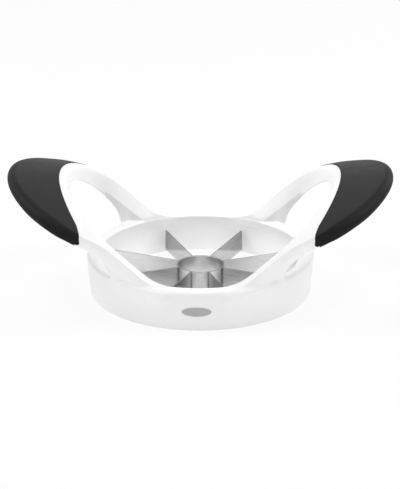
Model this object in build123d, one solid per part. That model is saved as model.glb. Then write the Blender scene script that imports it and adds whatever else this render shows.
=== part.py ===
from build123d import *
import os
from math import cos, radians, sin, sqrt

# Push-down apple slicer and wedger, in millimetres. The drum stands on z = 0 with its
# axis on Z. The handle loops reach out along +X and -X, and the badge faces -Y.

# ---- drum ----
RIM_RADIUS = 61.2            # outer radius at the top of the rim
RIM_HEIGHT = 21.5            # top face of the rim
WALL_DRAFT = 1.9             # the wall's outside draws in by this much at the bottom
RIM_WIDTH = 7.7              # flat ledge from the outer radius to the bore
BASE_WALL = 2.8              # wall thickness at the bottom
BORE_CURVE = 3               # the bore closes in towards the rim with this power
RIM_ROUND = 2.2              # rounding of the rim's outer edge
BORE_ROUND = 1.6             # rounding of the rim's inner edge
BASE_ROUND = 1.2             # rounding of the bottom outer edge
ROUND_SHARE = 0.8            # a rounding takes at most this share of its wall

# ---- ring that closes the drum from below ----
CLOSING_HEIGHT = 4.0
CLOSING_WIDTH = 1.2
FIT = 0.05                   # clearance between pieces that are pushed together

# ---- core ring and blades ----
CORE_RADIUS = 12.7
CORE_WALL = 0.8
CORE_BOTTOM = 1.0
CORE_EDGE = 1.2              # height of the ground lower edge
BLADE_TOP = 13.3
BLADE_COUNT = 8
BLADE_THICKNESS = 0.5
BLADE_BOTTOM = 1.3
BLADE_EDGE = 1.8             # height of the ground lower edge
EDGE_FLAT = 0.1              # what the grinding leaves of the thickness
CORE_TAB_HEIGHT = 5.0        # the tab that plugs into the core ring
WALL_TAB_HEIGHT = 6.5        # the tab that plugs into the drum wall
WALL_TAB_DEPTH = 1.6

# ---- arms ----
ARM_INSET = 17.9             # flat inner face of an arm, in from the rim's outer radius
CREST_OFFSET = 3.7           # the crest ridge lies this far outside the inner face
FOLD_OFFSET = 9.0            # and the fold between crest and side this far
SIDE_OFFSET = 8.0
ARM_ROOT = 22.5              # length along the rim over which the arm grows out of it
SLOT_INSET = 15.7            # the arm leaves the rim this far in from its radius
PIVOT_INSET = 5.2            # and is straight up to here, where its sections start to fan
SEAM_TURN = 3.8              # the grip starts this many degrees round the fan
ROOT_DEPTH = 5.0             # how far an arm's root goes down into the wall
ROOT_WIDTH = 1.6
ROOT_COVER = 1.2             # wall left outside the root
ROOT_FLARE = 1.8             # the fold widens by this much where the root starts
ROOT_LAND = 0.3              # and the rim left inside it
WEB_INSET = 14.0             # the slot ends this far in from the rim's radius at the arm's inner face
WEB_RUN = 4.2                # where the inner foot comes up out of the wall over this length
WEB_OUTER_INSET = 17.0       # and this far in at the outer face
WEB_OUTER_RUN = 0.8          # where the outer foot comes up over this length
SLOT_RUN = 4.0               # past the slot's end the underside levels out over this length
UNDER_DROP = 1.0             # the underside beside the slot's end lies this far below the keel
SLANT = (0.15, 0.55)         # shares from keel to hole between which the slot's end runs inwards
SEAM_SHARE = 0.74            # the seam meets the arm at this share from crest to fold

# ---- handle loops ----
FINGER_GAP = 8.0             # from the rim to the inner edge of a loop
CREST_REACH = 9.6            # the crest ridge, beyond the rim
SEAM_REACH = 12.9            # the seam of the grip
FOLD_REACH = 38.1            # the upper outer edge
SIDE_BULGE = 2.3             # the outermost edge lies this far outside it
KEEL_BULGE = 0.1             # and the lower outer edge this far
CREST_CENTRE = 12.9          # centres of the plan arcs, outward from the drum axis
SEAM_CENTRE = -13.0
OUTER_INSET = 18.7           # the outer arcs' centre, in from the rim's radius
CORNER_SHARPNESS = 20        # how tightly a straight arm turns into its arc
EASE = 2.5                   # the edge lines turn smoothly over this much reach
SIDE_SHARE = 0.48            # the outermost edge lies this far from fold to keel
CROWN = 0.9                  # the grip's top swells by this much
CROWN_SPAN = 20.0            # where it is at least this wide
CROWN_PLACE = 0.6            # at this share of its width

# Each edge line's rise above the rim, against its reach beyond the rim's radius.
HOLE_RISE = ((-61.2, -5.0), (-18.2, -5.0), (-14.2, -0.3), (-13.5, 3.7), (-12.5, 6.7), (-10.9, 9.8),
             (-8.1, 13.2), (-4.0, 19.2), (0.0, 25.0), (8.1, 36.3))
INNER_RISE = ((-61.2, 0.2), (-48.0, 0.3), (-42.0, 0.65), (-36.7, 1.25), (-27.5, 1.8), (-23.3, 4.0),
              (-18.2, 8.5), (-12.8, 13.1), (-6.6, 17.5), (8.6, 37.8))
CREST_RISE = ((-61.2, 0.0), (-45.2, 0.1), (-39.7, 1.3), (-34.5, 3.9), (-24.5, 12.9), (-15.2, 21.2),
              (-7.2, 28.5), (2.8, 37.2), (9.6, 41.3))
SEAM_RISE = ((-15.7, 19.7), (-1.2, 29.2), (12.9, 44.5))
FOLD_RISE = ((-61.2, 0.0), (-42.0, 0.0), (-37.6, 1.3), (-33.0, 4.1), (-27.3, 9.0), (-14.9, 19.7),
             (-10.0, 22.7), (-5.2, 25.0), (0.2, 27.4), (5.4, 30.6), (25.0, 39.0), (38.1, 46.1))
# The lower outer edge: its drop below the fold, and its offset from the inner face.
KEEL_DROP = ((-61.2, 1.0), (-37.2, 1.6), (-27.2, 7.5), (-15.5, 12.4), (-10.3, 10.1), (-6.0, 7.4),
             (38.1, 7.2))
KEEL_OFFSET = ((-37.2, 3.0), (-13.2, 3.2), (1.0, 6.6), (38.1, 7.0))

# ---- grips ----
GRIP_WALL = 2.2
GRIP_UNDER = 0.45            # share of the loop's underside that the grip leaves bare

# ---- badge ----
BADGE_LENGTH = 15.1
BADGE_HEIGHT = 5.1
BADGE_CENTRE = 10.8
BADGE_DEPTH = 0.6
BADGE_PROUD = 0.15

# ---- where the sections stand ----
ROOT_STEPS = 5
WEB_STEPS = 2
ARM_STEPS = 3
LOOP_TURNS = (SEAM_TURN, 10.0, 16.0, 23.0, 31.0, 40.0, 50.0, 62.0, 76.0, 90.0)

BEYOND = 10.0                # cutters reach this far past what they cut

BASE_RADIUS = RIM_RADIUS - WALL_DRAFT
RIM_BORE = RIM_RADIUS - RIM_WIDTH
BASE_BORE = BASE_RADIUS - BASE_WALL
ARM_INNER_Y = RIM_RADIUS - ARM_INSET
SLOT_END = RIM_RADIUS - SLOT_INSET
ARM_START = SLOT_END - ARM_ROOT
PIVOT = RIM_RADIUS - PIVOT_INSET
OUTER_CENTRE = RIM_RADIUS - OUTER_INSET
WEB_END = RIM_RADIUS - WEB_INSET
WEB_START = WEB_END - WEB_RUN
WEB_OUTER_START = RIM_RADIUS - WEB_OUTER_INSET
WEB_OUTER_END = WEB_OUTER_START + WEB_OUTER_RUN


def mix(start, end, share):
    """The value that lies at a share of the way from start to end."""
    return start + (end - start) * share


def between(first, second, share):
    """The corner that lies at a share of the way from one corner to another."""
    return tuple(mix(start, end, share) for start, end in zip(first, second))


def share_of(start, end, value):
    """How far a value lies from start to end, held between 0 and 1."""
    return min(max((value - start) / (end - start), 0.0), 1.0)


def on_lines(knots, reach):
    """The value at a reach, on straight lines between knots."""
    for (x0, z0), (x1, z1) in zip(knots, knots[1:]):
        if reach <= x1 or (x1, z1) == knots[-1]:
            return mix(z0, z1, (reach - x0) / (x1 - x0))


def eased(knots, reach):
    """The value at a reach, with the corners between the lines eased."""
    steps = (-1, -0.5, 0, 0.5, 1)
    return sum(on_lines(knots, reach + step * EASE) for step in steps) / len(steps)


def nearer(first, second):
    """The smaller of two distances, with a rounded change between them."""
    total = first ** -CORNER_SHARPNESS + second ** -CORNER_SHARPNESS
    return total ** (-1 / CORNER_SHARPNESS)


def wall_radius(level):
    """Outer radius of the drafted wall at a level."""
    return mix(BASE_RADIUS, RIM_RADIUS, level / RIM_HEIGHT)


def bore_radius(level):
    """Inner radius of the drafted wall at a level."""
    return mix(BASE_BORE, RIM_BORE, (level / RIM_HEIGHT) ** BORE_CURVE)


class Station:
    """A vertical plane across the handle: across the straight arm, then fanned round the pivot."""

    def __init__(self, place=PIVOT, turn=0.0):
        self.place = place
        self.turn = turn
        self.sine = sin(radians(turn))
        self.cosine = cos(radians(turn))

    def to_arc(self, centre, reach):
        """Distance from the pivot to a plan arc that passes a reach beyond the rim."""
        radius = RIM_RADIUS + reach - centre
        gap = max(self.place - centre, 0)
        along = gap * self.sine
        return sqrt(along ** 2 + radius ** 2 - gap ** 2) - along

    def to_edge(self, offset, centre, reach):
        """Distance from the pivot to a plan line: the straight side of the arm, then an arc."""
        arc = self.to_arc(centre, reach)
        if self.cosine * arc < ARM_INNER_Y / 2:
            return arc
        return nearer((ARM_INNER_Y + offset) / self.cosine, arc)

    def reach(self, distance):
        """How far beyond the rim's radius a distance from the pivot lies, along X."""
        return self.place + distance * self.sine - RIM_RADIUS

    def point(self, distance, level, side=1):
        """The point of this plane at a distance from the pivot and a level."""
        x = self.place + distance * self.sine
        return Vector(x, side * distance * self.cosine, level)


def edges(station):
    """The corners of the handle's section, from the hole over the top: distance and level."""
    hole = station.to_edge(0.0, 0.0, FINGER_GAP)
    crest = station.to_edge(CREST_OFFSET, CREST_CENTRE, CREST_REACH)
    fold = station.to_edge(FOLD_OFFSET, OUTER_CENTRE, FOLD_REACH)
    side = station.to_edge(SIDE_OFFSET, OUTER_CENTRE, FOLD_REACH + SIDE_BULGE)
    keel_offset = eased(KEEL_OFFSET, station.reach(ARM_INNER_Y))
    keel = station.to_edge(keel_offset, OUTER_CENTRE, FOLD_REACH + KEEL_BULGE)
    seam = station.to_arc(SEAM_CENTRE, SEAM_REACH)
    fold_level = RIM_HEIGHT + eased(FOLD_RISE, station.reach(fold))
    keel_level = fold_level - eased(KEEL_DROP, station.reach(fold))
    crest_level = RIM_HEIGHT + eased(CREST_RISE, station.reach(crest))
    seam_level = RIM_HEIGHT + eased(SEAM_RISE, station.reach(seam))
    if station.turn < SEAM_TURN:
        seam = mix(crest, fold, SEAM_SHARE)
        seam_level = mix(crest_level, fold_level, SEAM_SHARE)
    swell = mix(seam_level, fold_level, CROWN_PLACE) + CROWN * min(1.0, (fold - seam) / CROWN_SPAN)
    return {
        "hole": (hole, RIM_HEIGHT + eased(HOLE_RISE, station.reach(hole))),
        "inner": (hole, RIM_HEIGHT + eased(INNER_RISE, station.reach(hole))),
        "crest": (crest, crest_level),
        "seam": (seam, seam_level),
        "crown": (mix(seam, fold, CROWN_PLACE), swell),
        "fold": (fold, fold_level),
        "side": (side, mix(fold_level, keel_level, SIDE_SHARE)),
        "keel": (keel, keel_level),
    }


def under_edge(corner):
    """The corner of the underside where the grip ends."""
    hole = corner["hole"]
    keel = corner["keel"]
    return mix(hole[0], keel[0], GRIP_UNDER), mix(hole[1], keel[1], GRIP_UNDER)


def grip_inside(corner):
    """The corners of the core under the grip, one grip wall in from the grip's own corners."""
    under = under_edge(corner)
    return [
        (corner["seam"][0], corner["seam"][1] - GRIP_WALL),
        (corner["crown"][0], corner["crown"][1] - GRIP_WALL),
        (corner["fold"][0] - GRIP_WALL, corner["fold"][1] - GRIP_WALL),
        (corner["side"][0] - GRIP_WALL, corner["side"][1]),
        (corner["keel"][0] - GRIP_WALL, corner["keel"][1] + GRIP_WALL),
        (under[0], under[1] + GRIP_WALL),
    ]


def section(station, corners, side):
    """The points of a flat section, in order."""
    return [station.point(distance, level, side) for distance, level in corners]


def flat(points):
    """A flat face through points in order."""
    return Face(Wire.make_polygon(points, close=True))


def facets(first, second, third, fourth):
    """Two triangles across a four-sided gap, split along its shorter diagonal."""
    if (third - first).length < (fourth - second).length:
        return [flat([first, second, third]), flat([first, third, fourth])]
    return [flat([first, second, fourth]), flat([second, third, fourth])]


def skin(sections):
    """A solid of flat facets from each section to the next, closed at both ends."""
    faces = [flat(sections[0]), flat(sections[-1])]
    for near, far in zip(sections, sections[1:]):
        for count, corner in enumerate(near):
            faces += facets(near[count - 1], corner, far[count], far[count - 1])
    return Part([Solid(Shell(faces))])


# ---- sections of the handle ----

def slot_end(station, corner):
    """The underside's corner beside the slot, whose end runs slantwise in from keel to hole."""
    hole = corner["hole"]
    keel = corner["keel"]
    slant = share_of(WEB_OUTER_START, WEB_END, station.place)
    beside = (mix(keel[0], hole[0], mix(*SLANT, slant)), keel[1] - UNDER_DROP)
    past = 1.0 if station.turn > 0 else share_of(WEB_END, WEB_END + SLOT_RUN, station.place)
    return between(beside, under_edge(corner), past)


def sunk(station, corner, under):
    """The corners of an arm's section where it is a root, with a foot sunk into the drum's wall."""
    floor = RIM_HEIGHT - ROOT_DEPTH
    wall = sqrt(wall_radius(floor) ** 2 - station.place ** 2)
    sunk_land = sqrt(max((bore_radius(floor) + ROOT_LAND) ** 2 - station.place ** 2, 0))
    land = sqrt(max((RIM_BORE + ROOT_LAND) ** 2 - station.place ** 2, 0))
    outside = wall - ROOT_COVER
    inside = max(sunk_land, min(ARM_INNER_Y, outside - ROOT_WIDTH))
    share = share_of(ARM_START, SLOT_END, station.place)
    web = share_of(WEB_START, WEB_END, station.place)
    corner["hole"] = (mix(inside, corner["hole"][0], web), corner["hole"][1])
    corner["inner"] = (max(land, corner["inner"][0]), corner["inner"][1])
    corner["crest"] = (max(land + ROOT_LAND, corner["crest"][0]), corner["crest"][1])
    corner["fold"] = (corner["fold"][0] + ROOT_FLARE * (1 - share) ** 2, corner["fold"][1])
    corner["seam"] = between(corner["crest"], corner["fold"], SEAM_SHARE)
    corner["crown"] = between(corner["seam"], corner["fold"], CROWN_PLACE)
    for name, drop in (("side", RIM_ROUND), ("keel", 2 * RIM_ROUND)):
        corner[name] = between((wall, RIM_HEIGHT - drop), corner[name], share)
    opened = share_of(WEB_OUTER_START, WEB_OUTER_END, station.place)
    return between((outside, floor), under, opened)


def arm_section(station, side):
    """Section of an arm. Near the drum its lower corners sink into the wall as the arm's root."""
    corner = edges(station)
    under = slot_end(station, corner)
    if station.turn == 0 and station.place < WEB_END:
        under = sunk(station, corner, under)
    return section(station, list(corner.values()) + [under], side)


def core_section(station, side):
    """Section of the white loop: bare from the underside over the crest to the seam, then cored."""
    corner = edges(station)
    bare = [under_edge(corner)] + [corner[name] for name in ("hole", "inner", "crest", "seam")]
    return section(station, bare + grip_inside(corner), side)


def grip_section(station, side):
    """Section of the soft grip that wraps the loop from the seam round to the underside."""
    corner = edges(station)
    outer = [corner[name] for name in ("seam", "crown", "fold", "side", "keel")] + [under_edge(corner)]
    return section(station, outer + grip_inside(corner)[::-1], side)


def round_the_loop(cut):
    """Sections all the way round a loop, from one end of the grip to the other."""
    front = [cut(Station(PIVOT, turn), -1) for turn in LOOP_TURNS]
    back = [cut(Station(PIVOT, turn), 1) for turn in reversed(LOOP_TURNS[:-1])]
    return front + back


def straight_stations(start, end, steps):
    """Even stations along the straight arm."""
    return [Station(mix(start, end, count / steps)) for count in range(steps + 1)]


def handle_frame():
    """The white part of the handle at +X: two arms with their roots, and the core of the loop."""
    pieces = [skin(round_the_loop(core_section))]
    stations = straight_stations(ARM_START, WEB_START, ROOT_STEPS)
    stations += straight_stations(WEB_OUTER_START, WEB_OUTER_END, 1)
    stations += straight_stations(WEB_END, WEB_END + SLOT_RUN, WEB_STEPS)
    stations += straight_stations(WEB_END + SLOT_RUN, PIVOT, ARM_STEPS)[1:]
    stations.append(Station(PIVOT, SEAM_TURN))
    for side in (-1, 1):
        pieces.append(skin([arm_section(station, side) for station in stations]))
    return pieces


def grip():
    """The soft grip of the handle at +X."""
    return skin(round_the_loop(grip_section))


# ---- drum ----

def turned(outline):
    """A solid of revolution about Z, from an outline of radius and level."""
    face = make_face(Polyline(*[(radius, 0, level) for radius, level in outline], close=True))
    return revolve(face, Axis.Z)


def circle_edge(solid, radius, level):
    """The circular edge of a turned solid that has this radius and level."""
    circles = solid.edges().filter_by(GeomType.CIRCLE).filter_by_position(Axis.Z, level, level)
    return circles.sort_by(lambda edge: abs(edge.radius - radius))[0]


def drum_wall():
    """The drafted wall with its rim, rounded edges and the rebate for the closing ring."""
    rebate = BASE_BORE + CLOSING_WIDTH
    levels = [mix(CLOSING_HEIGHT, RIM_HEIGHT, share) for share in (0, 0.25, 0.5, 0.75)]
    bore = [(bore_radius(level), level) for level in levels]
    outline = [(rebate, 0), (BASE_RADIUS, 0), (RIM_RADIUS, RIM_HEIGHT), (RIM_BORE, RIM_HEIGHT)]
    wall = turned(outline + bore[::-1] + [(rebate, CLOSING_HEIGHT)])
    wall = fillet(circle_edge(wall, RIM_RADIUS, RIM_HEIGHT), RIM_ROUND)
    wall = fillet(circle_edge(wall, RIM_BORE, RIM_HEIGHT), BORE_ROUND)
    return fillet(circle_edge(wall, BASE_RADIUS, 0), min(BASE_ROUND, (BASE_RADIUS - rebate) * ROUND_SHARE))


def around(solid):
    """Copies of a solid at each blade."""
    turn = 360 / BLADE_COUNT
    return [Rot(0, 0, turn * (count + 0.5)) * solid for count in range(BLADE_COUNT)]


def block(inner, outer, thickness, bottom, top):
    """A box along +X between two radii."""
    centre = Pos((inner + outer) / 2, 0, (bottom + top) / 2)
    return centre * Box(outer - inner, thickness, top - bottom)


def blade_pocket():
    """The slot in the wall for the outer tab of a blade."""
    end = bore_radius(BLADE_TOP) + WALL_TAB_DEPTH + FIT
    top = CLOSING_HEIGHT + WALL_TAB_HEIGHT + FIT
    return block(RIM_BORE, end, BLADE_THICKNESS + 2 * FIT, CLOSING_HEIGHT, top)


def badge_block(depth, proud, margin):
    """A slice of the wall's surface inside the badge's oval, from a depth to a height above it."""
    levels = (BADGE_CENTRE - BADGE_HEIGHT, BADGE_CENTRE + BADGE_HEIGHT)
    inside = [(wall_radius(level) - depth, level) for level in levels]
    outside = [(wall_radius(level) + proud, level) for level in reversed(levels)]
    oval = Ellipse(BADGE_LENGTH / 2 + margin, BADGE_HEIGHT / 2 + margin)
    prism = extrude(Plane.XZ.offset(0) * Pos(0, BADGE_CENTRE) * oval, RIM_RADIUS + BEYOND)
    return turned(inside + outside) & prism


def body_frame():
    """The one white moulding: drum wall, arms and the cores of both loops."""
    body = drum_wall()
    for pocket in around(blade_pocket()):
        body -= pocket
    body -= badge_block(BADGE_DEPTH, BEYOND, FIT)
    for piece in handle_frame():
        body += piece
        body += piece.mirror(Plane.YZ)
    return body


def closing_ring():
    """The ring in the rebate that shuts the blade pockets from below."""
    outside = BASE_BORE + CLOSING_WIDTH - FIT
    return turned([(BASE_BORE, 0), (outside, 0), (outside, CLOSING_HEIGHT), (BASE_BORE, CLOSING_HEIGHT)])


def badge():
    """The blank oval plate let into the front of the wall."""
    return badge_block(BADGE_DEPTH, BADGE_PROUD, 0)


# ---- core ring and blades ----

def core_tab_levels():
    """Bottom and top of the tab that plugs into the core ring."""
    middle = (BLADE_BOTTOM + BLADE_TOP) / 2
    return middle - CORE_TAB_HEIGHT / 2, middle + CORE_TAB_HEIGHT / 2


def core_ring():
    """The steel tube that cuts out the core, ground outside at its lower edge, with a window per blade."""
    bore = CORE_RADIUS - CORE_WALL
    tube = turned([(bore, CORE_BOTTOM), (bore + EDGE_FLAT, CORE_BOTTOM),
                   (CORE_RADIUS, CORE_BOTTOM + CORE_EDGE), (CORE_RADIUS, BLADE_TOP), (bore, BLADE_TOP)])
    bottom, top = core_tab_levels()
    width = BLADE_THICKNESS + 2 * FIT
    window = block(bore - CORE_WALL, CORE_RADIUS + CORE_WALL, width, bottom - FIT, top + FIT)
    for cut in around(window):
        tube -= cut
    return tube


def blade():
    """One blade along +X, with a tab at each end and a ground lower edge."""
    inner = CORE_RADIUS + FIT
    tab_bottom, tab_top = core_tab_levels()
    tab_end = CORE_RADIUS - CORE_WALL
    wall_tab_end = bore_radius(BLADE_TOP) + WALL_TAB_DEPTH
    wall_tab_bottom = CLOSING_HEIGHT + FIT
    wall_tab_top = CLOSING_HEIGHT + WALL_TAB_HEIGHT

    def at_wall(level):
        return bore_radius(max(level, CLOSING_HEIGHT)) - 2 * FIT

    outline = [
        (inner, BLADE_BOTTOM), (at_wall(BLADE_BOTTOM), BLADE_BOTTOM),
        (at_wall(wall_tab_bottom), wall_tab_bottom), (wall_tab_end, wall_tab_bottom),
        (wall_tab_end, wall_tab_top), (at_wall(wall_tab_top), wall_tab_top),
        (at_wall(BLADE_TOP), BLADE_TOP), (inner, BLADE_TOP), (inner, tab_top), (tab_end, tab_top),
        (tab_end, tab_bottom), (inner, tab_bottom),
    ]
    side = make_face(Polyline(*[(radius, 0, level) for radius, level in outline], close=True))
    plate = extrude(side, BLADE_THICKNESS / 2, both=True)
    half = BLADE_THICKNESS / 2
    shoulder = BLADE_BOTTOM + BLADE_EDGE
    ground = [(0, -EDGE_FLAT / 2, BLADE_BOTTOM), (0, EDGE_FLAT / 2, BLADE_BOTTOM), (0, half, shoulder),
              (0, half, BLADE_TOP), (0, -half, BLADE_TOP), (0, -half, shoulder)]
    return plate & extrude(make_face(Polyline(*ground, close=True)), RIM_RADIUS, dir=(1, 0, 0))


# ---- the pieces ----

def pieces():
    """Every piece of the slicer, by name."""
    right_grip = grip()
    made = {
        "body_frame": body_frame(),
        "base_ring": closing_ring(),
        "core_ring": core_ring(),
        "grip_right": right_grip,
        "grip_left": right_grip.mirror(Plane.YZ),
        "badge_plate": badge(),
    }
    for number, one_blade in enumerate(around(blade()), start=1):
        made[f"blade_{number}"] = one_blade
    return made


os.makedirs("parts", exist_ok=True)
for name, piece in pieces().items():
    export_step(piece, f"parts/{name}.step")
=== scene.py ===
import math

import bmesh
import bpy
from mathutils import Matrix, Vector
from mathutils.bvhtree import BVHTree


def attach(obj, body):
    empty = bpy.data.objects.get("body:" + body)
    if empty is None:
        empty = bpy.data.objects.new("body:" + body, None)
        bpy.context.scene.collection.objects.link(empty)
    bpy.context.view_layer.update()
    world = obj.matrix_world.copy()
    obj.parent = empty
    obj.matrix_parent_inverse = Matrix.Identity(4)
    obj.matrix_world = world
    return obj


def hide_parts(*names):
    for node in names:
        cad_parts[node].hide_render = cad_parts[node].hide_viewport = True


# Push-down apple slicer. Sizes of the moulding are in millimetres and its meshes in metres.
# The drum stands on z = 0 with its axis on Z, and the handle loops reach out along X.

MM = 0.001
TINY = 1e-6

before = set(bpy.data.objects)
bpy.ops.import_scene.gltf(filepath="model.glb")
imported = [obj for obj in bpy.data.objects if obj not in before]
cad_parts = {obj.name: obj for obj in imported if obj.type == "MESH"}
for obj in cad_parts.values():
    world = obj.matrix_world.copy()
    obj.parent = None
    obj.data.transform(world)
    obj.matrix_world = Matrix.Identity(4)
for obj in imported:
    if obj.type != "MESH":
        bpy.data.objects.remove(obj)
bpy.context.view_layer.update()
scene = bpy.context.scene

# ---- camera ----
AIM_X = -0.22
AIM_Z = 24.4
VIEW_TURN = 2.12
VIEW_RISE = 20.95
VIEW_ROLL = -0.34
VIEW_DISTANCE = 900.0
FOCAL_PIXELS = 1677.8
FRAME_PIXELS = 489
SENSOR = 36.0

# ---- drum ----
RIM_RADIUS = 61.2
RIM_HEIGHT = 21.5
BASE_RADIUS = 59.3
RIM_BORE = 53.5
BASE_BORE = 56.5
BORE_CURVE = 3
BORE_STEPS = 14
RIM_ROUND = 2.5
BORE_ROUND = 1.8
BASE_ROUND = 1.2
CLOSING_HEIGHT = 4.0
CLOSING_WIDTH = 1.2
CLOSING_LAP = 0.7
CLOSING_PLAY = 0.05
CLOSING_STEP = 0.03
CLOSING_FOOT = 0.02
CLOSING_EDGE = 0.3
CLOSING_HEEL = 0.2

# ---- core ring and blades ----
CORE_RADIUS = 12.7
CORE_WALL = 0.8
CORE_BOTTOM = 1.0
CORE_EDGE = 1.2
CORE_SHOULDER = 0.3
CORE_RIM = 0.2
CORE_STEPS = 160
BLADE_COUNT = 8
BLADE_THICKNESS = 0.5
BLADE_TOP = 13.3
BLADE_BOTTOM = 1.3
BLADE_EDGE = 1.8
BLADE_BURR = 0.06
BLADE_SUNK = 0.4
BLADE_STEPS = 12
EDGE_FLAT = 0.1

# ---- arms and loops: plan ----
ARM_INNER_Y = 43.3
ARM_START = 16.0
FLANK_START = 22.0
SLOT_END = 45.5
PIVOT = 56.0
SEAM_TURN = 3.8
SEAM_LATE = 7.5
SEAM_CORNER = 3.6
CREST_OFFSET = 3.7
FOLD_OFFSET = 9.0
SIDE_OFFSET = 8.0
FINGER_GAP = 8.0
CREST_REACH = 9.6
SEAM_REACH = 12.9
FOLD_REACH = 38.1
SIDE_BULGE = 2.3
KEEL_BULGE = 0.1
CREST_CENTRE = 12.9
SEAM_CENTRE = -13.0
OUTER_CENTRE = 42.5
CORNER_SHARPNESS = 20
SEAM_SHARE = 0.74

# ---- roots of the arms ----
ROOT_DEPTH = 5.0
ROOT_WIDTH = 1.6
ROOT_COVER = 1.2
ROOT_FLARE = 1.8
ROOT_LAND = 0.3
WEB_START = 43.0
WEB_END = 47.2
FRONT_SLOT_EARLY = 2.2
WEB_OUTER_START = 44.2
WEB_OUTER_END = 45.0
SLOT_RUN = 4.0
KEEL_LIFT = 0.8
KEEL_LIFT_SPAN = (42.0, 45.0, 50.0, 54.0)
LEDGE_DIP = 1.1
LEDGE_DIP_ALONG = (38.0, 44.0, 51.0, 55.0)
LEDGE_DIP_FRONT = (14.0, 20.0)
LEDGE_DIP_RADIUS = (55.0, 58.5)
LEDGE_DIP_LEVEL = (15.0, 21.0)
SLANT_START = 0.15
SLANT_SHARE = 0.55

# ---- loops: levels, as rises above the rim against the reach beyond it ----
HOLE_RISE = ((-61.2, -5.0), (-18.2, -5.0), (-14.2, -0.3), (-13.5, 3.7), (-12.5, 6.7), (-10.9, 9.8),
             (-8.1, 13.2), (-4.0, 19.2), (0.0, 25.0), (8.1, 36.3))
INNER_RISE = ((-61.2, 0.2), (-48.0, 0.3), (-42.0, 0.65), (-36.7, 1.25), (-27.5, 1.8), (-23.3, 4.0),
              (-18.2, 8.5), (-12.8, 13.1), (-6.6, 17.5), (8.6, 37.8))
CREST_RISE = ((-61.2, 0.0), (-45.2, 0.1), (-39.7, 1.3), (-34.5, 3.9), (-24.5, 12.9), (-15.2, 21.2),
              (-7.2, 28.5), (2.8, 37.2), (9.6, 41.3))
SEAM_RISE = ((-15.7, 19.7), (-1.2, 29.2), (12.9, 44.5))
FOLD_RISE = ((-61.2, 0.0), (-42.0, 0.0), (-37.6, 1.3), (-33.0, 4.1), (-27.3, 9.0), (-14.9, 19.7),
             (-10.0, 22.7), (-5.2, 25.0), (0.2, 27.4), (5.4, 30.6), (25.0, 39.0), (38.1, 46.0))
KEEL_DROP = ((-61.2, 1.0), (-37.2, 1.6), (-27.2, 7.5), (-15.5, 12.4), (-10.3, 10.1), (-6.0, 7.4),
             (0.0, 7.45), (4.5, 7.95), (9.0, 8.05), (13.0, 7.7), (18.0, 7.3), (38.1, 7.0))
KEEL_OFFSET = ((-37.2, 3.0), (-13.2, 3.2), (1.0, 6.6), (38.1, 7.0))
EASE = 2.4
HOLE_EASE = 1.1
EASE_STEPS = 6
SIDE_SHARE = 0.48
CROWN = 0.3
CROWN_SPAN = 20.0
CROWN_PLACE = 0.6
GRIP_WALL = 2.2
GRIP_UNDER = 0.45
GRIP_PROUD = 0.12
GRIP_KEEP = 0.77
GRIP_LAP = 0.8

# ---- length cut from each side of a section's corners ----
ARM_CUTS = {"hole": 0.9, "inner": 0.6, "crest": 2.2, "seam": 0.8, "crown": 0.8, "fold": 1.4, "side": 1.5,
            "keel": 1.2}
SOFT_CUTS = {"fold": 4.2, "side": 3.0, "keel": 3.0}
SOFT_FROM = SLOT_END - 6.0
SOFT_TO = PIVOT + 4.0
SOFT_REACH = 40.0
UNDER_CUT = 0.8
INSIDE_CUT = 1.0
INSIDE_CORNER_CUT = 1.5
SEAM_CUT = 0.35
MOST_CUT = 0.48
KEEL_TUCK = 0.9
SHARP = 0.1

# ---- distances between the sections along a handle ----
ARM_STEP = 0.9
WEB_STEP = 0.3
SLOT_STEP = 0.8
CORE_STEP = 1.2
GRIP_STEP = 1.0
CORNER_STEP = 8
PAST_WEB = 3.0
AFTER_WEB = 3.5
FIRST_TURN = 0.6
CORE_OVERLAP = 0.2

# ---- how the white moulding is finished ----
# Painted shade: these six place a darker colour on the arms' inner faces, where they look at each other,
# standing in for the shade there.
SIDE_SHADE_SLOPE = 0.85
SIDE_SHADE_START = -6.7
SIDE_SHADE_SOFT = 0.3
SIDE_SHADE_FACING = (-0.75, -0.85)
SIDE_SHADE_ABOVE = (RIM_HEIGHT + 0.2, RIM_HEIGHT + 0.8)
SIDE_SHADE_OUT = (30.0, 33.0)
VOXEL = 0.5
LEDGE_BLEND = 0.9
FLARE_BLEND = 5.0
SLOT_BLEND = 1.6
REACH_OF_BLEND = 7.0
FLARE_RADIUS = (55.0, 60.0)
RIM_LEVELS = (RIM_HEIGHT - 1.5, RIM_HEIGHT + 0.5)
SLOT_BLEND_START = 37.0
LEAST_WAY = 0.3
FRAME_TRIANGLES = 190000

# ---- marks on the finishes: where each starts and is full, in millimetres or as a share ----
GRAIN_HEIGHT = 0.05
GRAIN_SHARE = 0.1
RIPPLE_SHARE = 0.6
PEBBLE_HEIGHT = 0.06
PATCH_SHARE = 0.4
LINE_HEIGHT = 0.01
LINES_ROUND = 12.0
PLATES_APART = 9.0
CLOUD_LENGTH = 0.6
CLOUD_WIDTH = 0.12
# Painted reflection: steel faces turned sideways are darker, most of all on the ring.
REFLECTION_FACING = (0.2, 1.0)
# Painted reflection: the upper part of the rear blades is darker.
REFLECTION_LINE_SOFT = 2.0
PAINTED_REFLECTION_REAR = (0.0, 4.0)
SPOKE_NEAR = (0.42, 0.12)
RING_OUTSIDE = (12.1, 12.5)
JOINT_REACH = (CORE_RADIUS + 1.4, CORE_RADIUS + 0.2)
# Painted shade: the blades at the front are darker.
FRONT_SHADE_FROM = (6.5, 12.0)
CUT_FACING = (0.5, 0.8)
CUT_ROUGHNESS = 0.55
CUT_METAL = 0.6

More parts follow.
